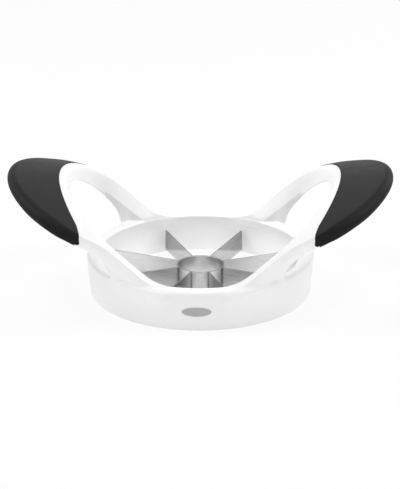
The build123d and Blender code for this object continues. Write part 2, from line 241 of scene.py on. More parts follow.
# ---- studio ----
CLIP_START = 0.01
CLIP_END = 20.0
FLOOR_HALF = 4.0
FLOOR_COLOUR = 0.9
FLOOR_ROUGHNESS = 0.9
LAMP_TARGET = (0.0, 0.0, 0.02)
SPOT_BLEND = 0.35
SPOT_SIZE = 0.06
SKY_LEVEL = 0.52
SEEN_LEVEL = 1.0
FLOOR_LIFT = 0.86
# Painted light: the floor's glow for diffuse rays lights the object from below.
FLOOR_GLOW = 0.2
# Each lamp: its place in metres, the side of its square, and its power.
LAMPS = {
    "left": ((-1.0, 0.0, 1.0), 0.8, 7.8),
    "right": ((1.0, 0.0, 1.0), 0.8, 6.8),
    "back_right": ((1.0, 1.0, 0.8), 0.8, 3.0),
}
# Each spot: its place, the point it is turned to, the radius of its light there, and its power.
SPOTS = {
    "on_back_wall": ((0.0, -0.8, 1.0), (0.0, 0.045, 0.012), 0.038, 46.0),
    "on_left_arm": ((0.1, -0.7, 1.2), (-0.062, 0.05, 0.04), 0.03, 30.0),
    "on_right_arm": ((-0.1, -0.7, 1.2), (0.06, 0.05, 0.04), 0.03, 34.0),
    "in_left_slot": ((-0.05, 1.0, 0.46), (-0.05, -0.036, 0.022), 0.012, 14.0),
    "in_right_slot": ((0.05, 1.0, 0.46), (0.05, -0.036, 0.022), 0.012, 16.0),
}


# ---------------------------------------------------------------- edge lines

def mix(start, end, share):
    return start + (end - start) * share


def ramp(start, end, value):
    """0 before start, 1 after end, smooth between."""
    share = min(max((value - start) / (end - start), 0.0), 1.0)
    return share * share * (3 - 2 * share)


def within(span, value):
    """0 outside a span and 1 inside, smooth over its first and last part."""
    return ramp(span[0], span[1], value) * (1 - ramp(span[2], span[3], value))


def on_lines(knots, reach):
    """The value at a reach, on straight lines between knots."""
    for (x0, z0), (x1, z1) in zip(knots, knots[1:]):
        if reach <= x1 or (x1, z1) == knots[-1]:
            return mix(z0, z1, (reach - x0) / (x1 - x0))


def eased(knots, reach, ease=EASE):
    """The value at a reach, with the corners between the lines rounded off."""
    total = weights = 0.0
    for step in range(-EASE_STEPS, EASE_STEPS + 1):
        share = step / EASE_STEPS
        weight = 0.5 + 0.5 * math.cos(math.pi * share * EASE_STEPS / (EASE_STEPS + 1))
        total += weight * on_lines(knots, reach + share * ease)
        weights += weight
    return total / weights


def nearer(first, second):
    """The smaller of two distances, with a rounded change between them."""
    total = first ** -CORNER_SHARPNESS + second ** -CORNER_SHARPNESS
    return total ** (-1 / CORNER_SHARPNESS)


def wall_radius(level):
    return mix(BASE_RADIUS, RIM_RADIUS, level / RIM_HEIGHT)


def bore_radius(level):
    return mix(BASE_BORE, RIM_BORE, (level / RIM_HEIGHT) ** BORE_CURVE)


class Station:
    """A vertical plane across a handle: across the straight arm, then fanned round the pivot."""

    def __init__(self, place, turn=0.0, early=0.0, late=0.0):
        self.place = place
        self.turn = turn
        self.seam_turn = SEAM_TURN + late
        self.early = early * (1 - ramp(WEB_END + 2, PIVOT, place))
        self.lift = KEEL_LIFT * within(KEEL_LIFT_SPAN, place) if early else 0.0
        self.sine = math.sin(math.radians(turn))
        self.cosine = math.cos(math.radians(turn))

    def to_arc(self, centre, reach):
        radius = RIM_RADIUS + reach - centre
        gap = max(self.place - centre, 0)
        along = gap * self.sine
        return math.sqrt(along ** 2 + radius ** 2 - gap ** 2) - along

    def to_edge(self, offset, centre, reach):
        arc = self.to_arc(centre, reach)
        if self.cosine * arc < ARM_INNER_Y / 2:
            return arc
        return nearer((ARM_INNER_Y + offset) / self.cosine, arc)

    def reach(self, distance):
        return self.place + distance * self.sine - RIM_RADIUS

    def point(self, distance, level, side):
        """A point of this plane in metres; side is -1 for the front half and 1 for the back."""
        x = self.place + distance * self.sine
        return (x * MM, side * distance * self.cosine * MM, level * MM)


def edges(station):
    """The corners of a handle's section, from the hole over the top: distance and level."""
    hole = station.to_edge(0.0, 0.0, FINGER_GAP)
    crest = station.to_edge(CREST_OFFSET, CREST_CENTRE, CREST_REACH)
    fold = station.to_edge(FOLD_OFFSET, OUTER_CENTRE, FOLD_REACH)
    side = station.to_edge(SIDE_OFFSET, OUTER_CENTRE, FOLD_REACH + SIDE_BULGE)
    keel_offset = eased(KEEL_OFFSET, station.reach(ARM_INNER_Y))
    keel = station.to_edge(keel_offset, OUTER_CENTRE, FOLD_REACH + KEEL_BULGE)
    fold_level = RIM_HEIGHT + eased(FOLD_RISE, station.reach(fold))
    keel_level = fold_level - eased(KEEL_DROP, station.reach(fold)) + station.lift
    crest_level = RIM_HEIGHT + eased(CREST_RISE, station.reach(crest))
    if station.turn < station.seam_turn:
        seam = mix(crest, fold, SEAM_SHARE)
        seam_level = mix(crest_level, fold_level, SEAM_SHARE)
    else:
        seam = station.to_arc(SEAM_CENTRE, SEAM_REACH)
        seam_level = RIM_HEIGHT + eased(SEAM_RISE, station.reach(seam))
        back = grip_end(station)
        seam, seam_level = mix(seam, fold, back), mix(seam_level, fold_level, back)
    swell = mix(seam_level, fold_level, CROWN_PLACE) + CROWN * min(1.0, (fold - seam) / CROWN_SPAN)
    return {
        "hole": (hole, RIM_HEIGHT + eased(HOLE_RISE, station.reach(hole) + station.early, HOLE_EASE)),
        "inner": (hole, RIM_HEIGHT + eased(INNER_RISE, station.reach(hole))),
        "crest": (crest, crest_level),
        "seam": (seam, seam_level),
        "crown": (mix(seam, fold, CROWN_PLACE), swell),
        "fold": (fold, fold_level),
        "side": (side, mix(fold_level, keel_level, SIDE_SHARE)),
        "keel": (keel, keel_level),
    }


def grip_end(station):
    """How far the grip's edges are drawn in at a station: 1 at its very end, 0 once past its corner."""
    share = min((station.turn - station.seam_turn) / SEAM_CORNER, 1.0)
    return 1 - math.sqrt(1 - (1 - share) ** 2)


def under_edge(corner):
    """The corner of the underside where the grip ends."""
    hole, keel = corner["hole"], corner["keel"]
    return mix(hole[0], keel[0], GRIP_UNDER), mix(hole[1], keel[1], GRIP_UNDER)


def slot_end(station, corner):
    """The underside's corner beside the slot. The slot's end runs slantwise in from keel to hole."""
    hole, keel = corner["hole"], corner["keel"]
    slant = min(max((station.place - WEB_OUTER_START) / (WEB_END - WEB_OUTER_START), 0.0), 1.0)
    beside = (mix(keel[0], hole[0], mix(SLANT_START, SLANT_SHARE, slant)), keel[1])
    past = ramp(WEB_END, WEB_END + SLOT_RUN, station.place)
    return between(beside, under_edge(corner), max(past, 1.0 if station.turn > 0 else 0.0))


def between(first, second, share):
    return tuple(mix(a, b, share) for a, b in zip(first, second))


# ---------------------------------------------------------------- sections

def rounded(corners, steps=6, keep=1.0):
    """A closed section with its corners rounded. Each corner is (distance, level, length cut from
    each side). With keep at 1 the rounded line still passes through the corners."""
    count = len(corners)
    pushed = []
    for place, corner in enumerate(corners):
        start = towards(corner, corners[place - 1], corner[2])
        end = towards(corner, corners[(place + 1) % count], corner[2])
        middle = between(start, end, 0.5)
        pushed.append(tuple(a + keep * (a - b) / 2 for a, b in zip(corner, middle)))
    line = []
    for place, middle in enumerate(pushed):
        cut = corners[place][2]
        if cut <= 0:
            line.append(middle)
            continue
        start = towards(middle, pushed[place - 1], cut)
        end = towards(middle, pushed[(place + 1) % count], cut)
        for step in range(steps + 1):
            t = step / steps
            line.append(tuple(
                (1 - t) ** 2 * a + 2 * t * (1 - t) * b + t ** 2 * c
                for a, b, c in zip(start, middle, end)))
    return line


def towards(corner, other, cut):
    """The point that lies a length from a corner towards another, at most just under half way."""
    length = math.hypot(other[0] - corner[0], other[1] - corner[1])
    share = min(cut / max(length, TINY), MOST_CUT)
    return mix(corner[0], other[0], share), mix(corner[1], other[1], share)


def raised(corners, height):
    """An open line of corners, moved out by a height."""
    line = []
    for place, (r, z, cut) in enumerate(corners):
        before = corners[max(place - 1, 0)]
        after = corners[min(place + 1, len(corners) - 1)]
        length = max(math.hypot(after[0] - before[0], after[1] - before[1]), TINY)
        inward = height * (after[1] - before[1]) / length
        upward = height * (after[0] - before[0]) / length
        line.append((r - inward, z + upward, cut))
    return line


def arm_cuts(station):
    """How far the corners of a bare arm are rounded off. They grow softer towards the grip."""
    soft = ramp(SOFT_FROM, SOFT_TO, station.place + SOFT_REACH * station.sine)
    return {name: mix(cut, SOFT_CUTS.get(name, cut), soft) for name, cut in ARM_CUTS.items()}


def arm_section(station):
    """A bare arm. Near the drum its lower corners sink into the wall as the arm's root."""
    corner = edges(station)
    cut = arm_cuts(station)
    floor = RIM_HEIGHT - ROOT_DEPTH
    under = slot_end(station, corner)
    if station.turn == 0 and station.place < WEB_END:
        wall = math.sqrt(wall_radius(floor) ** 2 - station.place ** 2)
        sunk_land = math.sqrt(max((bore_radius(floor) + ROOT_LAND) ** 2 - station.place ** 2, 0))
        land = math.sqrt(max((RIM_BORE + ROOT_LAND) ** 2 - station.place ** 2, 0))
        outside = wall - ROOT_COVER
        inside = max(sunk_land, min(ARM_INNER_Y, outside - ROOT_WIDTH))
        web = min(max((station.place - WEB_START) / (WEB_END - WEB_START), 0.0), 1.0)
        corner["hole"] = (mix(inside, corner["hole"][0], web), corner["hole"][1])
        corner["inner"] = (max(land, corner["inner"][0]), corner["inner"][1])
        corner["crest"] = (max(land + ROOT_LAND, corner["crest"][0]), corner["crest"][1])
        share = min(max((station.place - FLANK_START) / (SLOT_END - FLANK_START), 0.0), 1.0)
        corner["fold"] = (corner["fold"][0] + ROOT_FLARE * (1 - share) ** 2, corner["fold"][1])
        corner["seam"] = between(corner["crest"], corner["fold"], SEAM_SHARE)
        corner["crown"] = between(corner["seam"], corner["fold"], CROWN_PLACE)
        for name, drop in (("side", RIM_ROUND), ("keel", 2 * RIM_ROUND)):
            corner[name] = between((wall, RIM_HEIGHT - drop), corner[name], share)
        opened = ramp(WEB_OUTER_START, WEB_OUTER_END, station.place)
        under = between((outside, floor), under, opened)
    names = ("hole", "inner", "crest", "seam", "crown", "fold", "side", "keel")
    return [(*corner[name], cut[name]) for name in names] + [(*under, UNDER_CUT)]


def grip_inside(seam, corner, under):
    """The corners of the core under the grip, one grip wall in from the grip's own corners."""
    return [
        (seam[0], seam[1] - GRIP_WALL, 0.0),
        (corner["crown"][0], corner["crown"][1] - GRIP_WALL, INSIDE_CUT),
        (corner["fold"][0] - GRIP_WALL, corner["fold"][1] - GRIP_WALL, INSIDE_CORNER_CUT),
        (corner["side"][0] - GRIP_WALL, corner["side"][1], INSIDE_CUT),
        (corner["keel"][0] - GRIP_WALL, corner["keel"][1] + GRIP_WALL, INSIDE_CORNER_CUT),
        (under[0], under[1] + GRIP_WALL, 0.0),
    ]


def core_section(station):
    """The white loop where the grip wraps it: bare over the crest, a lap under the grip, then cored."""
    corner = edges(station)
    cut = arm_cuts(station)
    seam = towards(corner["seam"], corner["crown"], GRIP_LAP)
    under = towards(under_edge(corner), corner["keel"], GRIP_LAP)
    bare = [(*under, 0.0)] + [(*corner[name], cut[name]) for name in ("hole", "inner", "crest")]
    return bare + [(*seam, 0.0)] + grip_inside(seam, corner, under)


def grip_section(station):
    """The soft grip, from the seam over the crown and the side to the underside, and back inside."""
    corner = edges(station)
    back = grip_end(station)
    keel = between(corner["keel"], corner["side"], KEEL_TUCK * back)
    under = between(under_edge(corner), keel, back)
    outer = [(*corner["seam"], SEAM_CUT), (*corner["crown"], SOFT_CUTS["side"]),
             (*corner["fold"], SOFT_CUTS["fold"]), (*corner["side"], SOFT_CUTS["side"]),
             (*keel, SOFT_CUTS["keel"]), (*under, SEAM_CUT)]
    return raised(outer, GRIP_PROUD) + grip_inside(corner["seam"], corner, under)[::-1]


def straight(start, end, step, early=0.0):
    """Even stations along the straight arm."""
    count = round((end - start) / step)
    return [Station(mix(start, end, number / count), early=early) for number in range(count + 1)]


def fanned(start, end, step, late=0.0):
    """Even stations round the fan."""
    count = round((end - start) / step)
    return [Station(PIVOT, mix(start, end, number / count), late=late) for number in range(count + 1)]


# ---------------------------------------------------------------- meshes

def new_piece(name, points, faces, material=None):
    mesh = bpy.data.meshes.new(name)
    mesh.from_pydata([tuple(point) for point in points], [], faces)
    mesh.validate()
    mesh.shade_smooth()
    piece = bpy.data.objects.new(name, mesh)
    scene.collection.objects.link(piece)
    if material:
        mesh.materials.append(material)
    return piece


def skinned(rings, closed_ends=True):
    """Points and faces of a tube through rings that have the same number of points."""
    width = len(rings[0])
    points = [point for ring in rings for point in ring]
    faces = []
    for row in range(len(rings) - 1):
        for column in range(width):
            after = (column + 1) % width
            faces.append((row * width + column, row * width + after,
                          (row + 1) * width + after, (row + 1) * width + column))
    if closed_ends:
        last = (len(rings) - 1) * width
        faces.append(tuple(reversed(range(width))))
        faces.append(tuple(range(last, last + width)))
    return points, faces


def turned(outline, steps=360):
    """Points and faces of a closed outline of radius and level, turned round Z."""
    rings = []
    for step in range(steps):
        angle = 2 * math.pi * step / steps
        rings.append([(r * math.cos(angle) * MM, r * math.sin(angle) * MM, z * MM) for r, z in outline])
    width = len(outline)
    points = [point for ring in rings for point in ring]
    faces = []
    for row in range(steps):
        following = (row + 1) % steps
        for column in range(width):
            after = (column + 1) % width
            faces.append((row * width + column, following * width + column,
                          following * width + after, row * width + after))
    return points, faces


def outward(points, faces):
    """The same faces, all turned so that the shell's volume is positive."""
    volume = 0.0
    for face in faces:
        origin = Vector(points[face[0]])
        for second, third in zip(face[1:], face[2:]):
            volume += origin.dot(Vector(points[second]).cross(Vector(points[third])))
    if volume < 0:
        faces = [tuple(reversed(face)) for face in faces]
    return points, faces


def mirrored(points, faces):
    """The same shell on the other side of x = 0."""
    return [(-x, y, z) for x, y, z in points], [tuple(reversed(face)) for face in faces]


def drum_outline():
    """Section of the drum's wall, with the rebate for the closing ring."""
    rebate = BASE_BORE + CLOSING_WIDTH
    levels = [mix(CLOSING_HEIGHT, RIM_HEIGHT, step / BORE_STEPS) for step in range(1, BORE_STEPS)]
    bore = [(bore_radius(level), level, 0.0) for level in levels]
    corners = [(rebate, 0.0, SHARP), (BASE_RADIUS, 0.0, BASE_ROUND), (RIM_RADIUS, RIM_HEIGHT, RIM_ROUND)]
    corners += [(RIM_BORE, RIM_HEIGHT, BORE_ROUND)] + bore[::-1]
    corners += [(bore_radius(CLOSING_HEIGHT), CLOSING_HEIGHT, SHARP), (rebate, CLOSING_HEIGHT, 0.0)]
    return rounded(corners, steps=8, keep=0.0)


def ring_points(station, line, side):
    return [station.point(r, z, side) for r, z in line]


def handle_shells():
    """Closed shells of the handle at +X: both arms with their roots, and the core of the loop."""
    shells = []
    loop = []
    for side, early, late in ((-1, FRONT_SLOT_EARLY, 0.0), (1, 0.0, SEAM_LATE)):
        end = SEAM_TURN + late + SEAM_CORNER
        stations = straight(ARM_START, WEB_START, ARM_STEP, early)
        stations += straight(WEB_START + WEB_STEP, WEB_END + PAST_WEB, WEB_STEP, early)
        stations += straight(WEB_END + AFTER_WEB, PIVOT, SLOT_STEP, early)
        stations += fanned(FIRST_TURN, end, SLOT_STEP, late)
        shells.append(skinned([ring_points(station, rounded(arm_section(station)), side)
                               for station in stations]))
        core = [ring_points(station, rounded(core_section(station)), side)
                for station in fanned(end - CORE_OVERLAP, 90.0, CORE_STEP, late)]
        loop += core if side < 0 else core[-2::-1]
    shells.append(skinned(loop))
    return [outward(*shell) for shell in shells]


def joined(shells):
    """Several shells as one list of points and faces."""
    points, faces = [], []
    for more_points, more_faces in shells:
        start = len(points)
        points += more_points
        faces += [tuple(index + start for index in face) for face in more_faces]
    return points, faces


def remeshed(name, points, faces, size):
    """One closed mesh of even small faces round everything that the shells hold."""
    piece = new_piece(name, points, faces)
    modifier = piece.modifiers.new("even", "REMESH")
    modifier.mode = "VOXEL"
    modifier.voxel_size = size
    modifier.use_smooth_shade = True
    return baked(piece)


def baked(piece):
    """The piece with its modifiers applied."""
    graph = bpy.context.evaluated_depsgraph_get()
    mesh = bpy.data.meshes.new_from_object(piece.evaluated_get(graph))
    old = piece.data
    piece.modifiers.clear()
    piece.data = mesh
    bpy.data.meshes.remove(old)
    return piece


def blend_width(point):
    """How softly the handles grow out of the drum at a point, in metres."""
    radius = math.hypot(point.x, point.y) / MM
    outside = ramp(*FLARE_RADIUS, radius)
    above = ramp(*RIM_LEVELS, point.z / MM)
    near_slot = ramp(SLOT_BLEND_START, WEB_OUTER_START, abs(point.x) / MM)
    return mix(LEDGE_BLEND, mix(FLARE_BLEND, SLOT_BLEND, max(above, near_slot)), outside) * MM


def depth_in(tree, point, limit):
    """Signed distance from a shell, and the direction in which it grows."""
    place, normal, _, distance = tree.find_nearest(point, limit)
    if place is None:
        return limit, None
    away = point - place
    sign = 1.0 if away.dot(normal) >= 0 else -1.0
    return sign * distance, normal


def blended(piece, first_tree, second_tree, rounds=3):
    """Moves each point onto the two shells, with a soft hollow where they meet."""
    limit = REACH_OF_BLEND * MM
    for vertex in piece.data.vertices:
        point = vertex.co.copy()
        for _ in range(rounds):
            first, first_way = depth_in(first_tree, point, limit)
            second, second_way = depth_in(second_tree, point, limit)
            if first_way is None and second_way is None:
                break
            width = blend_width(point)
            overlap = max(width - abs(first - second), 0.0) / width
            value = min(first, second) - overlap * overlap * width / 4
            share = 1 - overlap / 2
            if first > second:
                share = 1 - share
            way = Vector((0.0, 0.0, 0.0))
            if first_way is not None:
                way += share * first_way
            if second_way is not None:
                way += (1 - share) * second_way
            size = way.length_squared
            if size < TINY:
                break
            point -= way * (value / max(size, LEAST_WAY))
            if abs(value) < TINY:
                break
        vertex.co = point
    piece.data.update()


def dipped(piece):
    """Lowers the rim's inner edge a little where it passes under the front arms."""
    for vertex in piece.data.vertices:
        x, y, z = vertex.co / MM
        if -y < LEDGE_DIP_FRONT[0] or z < LEDGE_DIP_LEVEL[0]:
            continue
        across = within(LEDGE_DIP_ALONG, abs(x)) * ramp(*LEDGE_DIP_FRONT, -y)
        inner = 1 - ramp(*LEDGE_DIP_RADIUS, math.hypot(x, y))
        vertex.co.z -= LEDGE_DIP * across * inner * ramp(*LEDGE_DIP_LEVEL, z) * MM


def thinned(piece, triangles):
    """Fewer faces where the surface is flat."""
    modifier = piece.modifiers.new("thin", "DECIMATE")
    piece.data.calc_loop_triangles()
    modifier.ratio = min(1.0, triangles / len(piece.data.loop_triangles))
    return baked(piece)


def body_frame(material):
    """The one white moulding: drum, arms and the cores of both loops."""
    drum = outward(*turned(drum_outline()))
    right = handle_shells()
    left = [mirrored(*shell) for shell in right]
    voxel = VOXEL * 1.0
    handles = remeshed("handles", *joined(right + left), voxel * MM)
    handle_points = [tuple(vertex.co) for vertex in handles.data.vertices]
    handle_faces = [tuple(face.vertices) for face in handles.data.polygons]
    piece = remeshed("body_moulding", *joined([drum] + right + left), voxel * MM)
    drum_tree = BVHTree.FromPolygons([Vector(p) for p in drum[0]], drum[1])
    handle_tree = BVHTree.FromPolygons([Vector(p) for p in handle_points], handle_faces)
    bpy.data.objects.remove(handles)
    blended(piece, drum_tree, handle_tree)
    dipped(piece)
    piece = thinned(piece, FRAME_TRIANGLES)
    piece.data.shade_smooth()
    piece.data.materials.append(material)
    return piece


def grip(name, flip, material):
    """A soft grip, wrapped round a loop."""
    rings = []
    for side, late in ((-1, 0.0), (1, SEAM_LATE)):
        start = SEAM_TURN + late
        stations = [Station(PIVOT, start + SEAM_CORNER * (1 - math.cos(math.radians(angle))), late=late)
                    for angle in range(CORNER_STEP // 2, 90, CORNER_STEP)]
        stations += fanned(start + SEAM_CORNER, 90.0, GRIP_STEP, late)
        half = [ring_points(station, rounded(grip_section(station), 7, GRIP_KEEP), side)
                for station in stations]
        rings += half if side < 0 else half[-2::-1]
    points, faces = outward(*skinned(rings))
    if flip:
        points, faces = mirrored(points, faces)
    return new_piece(name, points, faces, material)


def blade_section(share):
    """A blade's section at a share of its length: ground below, sheared above, its burr rubbed off."""
    half = BLADE_THICKNESS / 2
    side = [(EDGE_FLAT / 2, BLADE_BOTTOM), (half, BLADE_BOTTOM + BLADE_EDGE),
            (half, BLADE_TOP - BLADE_BURR), (half - BLADE_BURR, BLADE_TOP)]
    section = side + [(-y, z) for y, z in reversed(side)]
    ends = [(CORE_RADIUS - BLADE_BURR, bore_radius(max(z, CLOSING_HEIGHT)) + BLADE_SUNK) for _, z in section]
    return [(mix(start, end, share) * MM, y * MM, z * MM) for (y, z), (start, end) in zip(section, ends)]


def blade_wheel(material):
    """The blades, one plate repeated round the axis."""
    rings = [blade_section(step / BLADE_STEPS) for step in range(BLADE_STEPS + 1)]
    piece = new_piece("blade_wheel", *outward(*skinned(rings)))
    piece.data.shade_flat()
    modifier = piece.modifiers.new("round", "NODES")
    modifier.node_group = round_the_axis()
    sockets = {item.name: item.identifier for item in modifier.node_group.interface.items_tree}
    modifier[sockets["Count"]] = BLADE_COUNT
    modifier[sockets["First Turn"]] = math.pi / BLADE_COUNT
    modifier[sockets["Material"]] = material
    return baked(piece)


def round_the_axis():
    """Geometry nodes that repeat a piece evenly round Z."""
    tree = bpy.data.node_groups.new("round_the_axis", "GeometryNodeTree")
    for label, kind in (("Geometry", "Geometry"), ("Count", "Int"), ("First Turn", "Float"),
                        ("Material", "Material")):
        tree.interface.new_socket(label, in_out="INPUT", socket_type="NodeSocket" + kind)
    tree.interface.new_socket("Geometry", in_out="OUTPUT", socket_type="NodeSocketGeometry")
    nodes = Nodes(tree)
    given = nodes.add("NodeGroupInput").outputs
    points = nodes.add("GeometryNodeMeshLine")
    nodes.put(points.inputs["Count"], given["Count"])
    nodes.put(points.inputs["Offset"], (0.0, 0.0, 0.0))
    step = nodes.over(2 * math.pi, given["Count"])
    index = nodes.add("GeometryNodeInputIndex").outputs[0]
    turn = nodes.plus(nodes.times(index, step), given["First Turn"])
    copies = nodes.add("GeometryNodeInstanceOnPoints")
    nodes.put(copies.inputs["Points"], points.outputs[0])
    nodes.put(copies.inputs["Instance"], given["Geometry"])
    nodes.put(copies.inputs["Rotation"], nodes.joined(0.0, 0.0, turn))
    real = nodes.add("GeometryNodeRealizeInstances")
    nodes.put(real.inputs[0], copies.outputs[0])
    finished = nodes.add("GeometryNodeSetMaterial")
    nodes.put(finished.inputs["Geometry"], real.outputs[0])
    nodes.put(finished.inputs["Material"], given["Material"])
    out = nodes.add("NodeGroupOutput")
    nodes.put(out.inputs["Geometry"], finished.outputs[0])
    return tree


def core_ring(material):
    """The steel tube round the core: rolled strip, ground outside at its lower edge."""
    bore = CORE_RADIUS - CORE_WALL
    outline = [(bore, CORE_BOTTOM, SHARP / 2), (bore + EDGE_FLAT, CORE_BOTTOM, 0.0),
               (CORE_RADIUS, CORE_BOTTOM + CORE_EDGE, CORE_SHOULDER), (CORE_RADIUS, BLADE_TOP, CORE_RIM),
               (bore, BLADE_TOP, CORE_RIM)]
    piece = new_piece("core_tube", *outward(*turned(rounded(outline, 4, 0.0), CORE_STEPS)), material)
    crisp(piece)
    return piece


def closing_ring(material):
    """The ring that shuts the wall's rebate, flush with the bore."""
    outside = BASE_BORE + CLOSING_WIDTH - CLOSING_PLAY
    top = CLOSING_HEIGHT + CLOSING_LAP
    inside = bore_radius(top) - CLOSING_STEP
    foot = CLOSING_FOOT
    outline = [(inside, foot, CLOSING_EDGE), (outside, foot, CLOSING_HEEL), (outside, top, 0.0),
               (inside, top, 0.0)]
    piece = new_piece("closing_ring", *outward(*turned(rounded(outline, 4, 0.0))), material)
    crisp(piece)
    return piece


def crisp(piece, angle=40.0):
    """Smooth shading with the piece's real edges kept sharp."""
    edges_of = bmesh.new()
    edges_of.from_mesh(piece.data)
    for edge in edges_of.edges:
        edge.smooth = edge.calc_face_angle(0.0) < math.radians(angle)
    edges_of.to_mesh(piece.data)
    edges_of.free()


# ---------------------------------------------------------------- finishes

class Nodes:
    """Short calls that add nodes to a tree and join them."""

    def __init__(self, tree):
        self.tree = tree

    def add(self, kind, **settings):
        node = self.tree.nodes.new(kind)
        for name, value in settings.items():
            setattr(node, name, value)
        return node

    def put(self, socket, value):
        if isinstance(value, bpy.types.NodeSocket):
            self.tree.links.new(value, socket)
        else:
            socket.default_value = value

    def math(self, operation, *values, clamp=False):
        node = self.add("ShaderNodeMath", operation=operation, use_clamp=clamp)
        for socket, value in zip(node.inputs, values):
            self.put(socket, value)
        return node.outputs[0]

    def times(self, first, second):
        return self.math("MULTIPLY", first, second)

    def over(self, first, second):
        return self.math("DIVIDE", first, second)

    def plus(self, first, second, clamp=False):
        return self.math("ADD", first, second, clamp=clamp)

    def less(self, first, second):
        return self.math("SUBTRACT", first, second)

    def length(self, x, y):
        return self.math("SQRT", self.plus(self.times(x, x), self.times(y, y)))

    def between(self, share, low, high):
        """A number from low to high, by a share from 0 to 1."""
        node = self.add("ShaderNodeMapRange")
        for name, value in (("Value", share), ("To Min", low), ("To Max", high)):
            self.put(node.inputs[name], value)
        return node.outputs["Result"]

    def window(self, value, start, end):
        """0 before start and 1 past end, smooth between."""
        node = self.add("ShaderNodeMapRange", interpolation_type="SMOOTHSTEP")
        for name, part in (("Value", value), ("From Min", start), ("From Max", end)):
            self.put(node.inputs[name], part)
        return node.outputs["Result"]

    def noise(self, vector, scale, detail=2.0):
        node = self.add("ShaderNodeTexNoise")
        self.put(node.inputs["Vector"], vector)
        self.put(node.inputs["Scale"], scale)
        self.put(node.inputs["Detail"], detail)
        return node.outputs["Fac"]

    def bump(self, height, strength, distance):
        node = self.add("ShaderNodeBump")
        for name, value in (("Height", height), ("Strength", strength), ("Distance", distance)):
            self.put(node.inputs[name], value)
        return node.outputs["Normal"]

    def grey(self, level):
        node = self.add("ShaderNodeCombineColor")
        for socket in node.inputs[:3]:
            self.put(socket, level)
        return node.outputs["Color"]

    def apart(self, vector):
        node = self.add("ShaderNodeSeparateXYZ")
        self.put(node.inputs[0], vector)
        return node.outputs

    def joined(self, x, y, z):
        node = self.add("ShaderNodeCombineXYZ")
        for socket, value in zip(node.inputs, (x, y, z)):
            self.put(socket, value)
        return node.outputs[0]


def effect(name, inputs, outputs, build):
    """A shader node group with named inputs and outputs. build gets its nodes, inputs and outputs."""
    tree = bpy.data.node_groups.new(name, "ShaderNodeTree")
    for label, default in inputs.items():
        socket = tree.interface.new_socket(label, in_out="INPUT", socket_type="NodeSocketFloat")
        socket.default_value = default
    for label, kind in outputs.items():
        tree.interface.new_socket(label, in_out="OUTPUT", socket_type=kind)
    nodes = Nodes(tree)
    start = nodes.add("NodeGroupInput")
    end = nodes.add("NodeGroupOutput")
    build(nodes, start.outputs, end.inputs)
    return tree


def in_millimetres(nodes):
    """The piece's own coordinates, in millimetres."""
    place = nodes.add("ShaderNodeTexCoord").outputs["Object"]
    scaled = nodes.add("ShaderNodeVectorMath", operation="SCALE")
    nodes.put(scaled.inputs[0], place)
    nodes.put(scaled.inputs["Scale"], 1 / MM)
    return scaled.outputs[0]


def moulded(nodes, given, made):
    """Plastic from a fine-ground mould: tiny grain, slow ripples and uneven gloss. The faces of the arms
    that look at each other get a painted shade: their colour is darker, standing in for the shade that falls
    on them."""
    place = in_millimetres(nodes)
    x, y, z = nodes.apart(place)
    reach = nodes.math("ABSOLUTE", x)
    normal = nodes.add("ShaderNodeNewGeometry").outputs["Normal"]
    # Painted shade: the arms' inner faces, turned towards each other, get a darker colour.
    inward = nodes.times(nodes.apart(normal)[1], nodes.math("SIGN", y))
    line = nodes.plus(nodes.times(reach, SIDE_SHADE_SLOPE), SIDE_SHADE_START)
    below = nodes.window(nodes.less(z, line), SIDE_SHADE_SOFT, -SIDE_SHADE_SOFT)
    painted_side_shade = nodes.times(nodes.window(inward, *SIDE_SHADE_FACING), below)
    painted_side_shade = nodes.times(painted_side_shade, nodes.window(z, *SIDE_SHADE_ABOVE))
    painted_side_shade = nodes.times(painted_side_shade, nodes.window(reach, *SIDE_SHADE_OUT))
    shaded = nodes.times(painted_side_shade, given["Core Side"])
    grain = nodes.noise(place, nodes.over(1.0, given["Grain Size"]), 3.0)
    ripple = nodes.noise(place, nodes.over(1.0, given["Ripple Size"]), 1.0)
    shade = nodes.times(nodes.less(ripple, 0.5), given["Colour Change"])
    level = nodes.plus(given["Level"], shade)
    nodes.put(made["Colour"], nodes.grey(nodes.less(level, shaded)))
    gloss = nodes.times(nodes.less(ripple, 0.5), given["Gloss Change"])
    nodes.put(made["Roughness"], nodes.plus(given["Roughness"], gloss, clamp=True))
    height = nodes.plus(nodes.times(ripple, RIPPLE_SHARE), nodes.times(grain, GRAIN_SHARE))
    nodes.put(made["Normal"], nodes.bump(height, given["Grain Depth"], GRAIN_HEIGHT * MM))


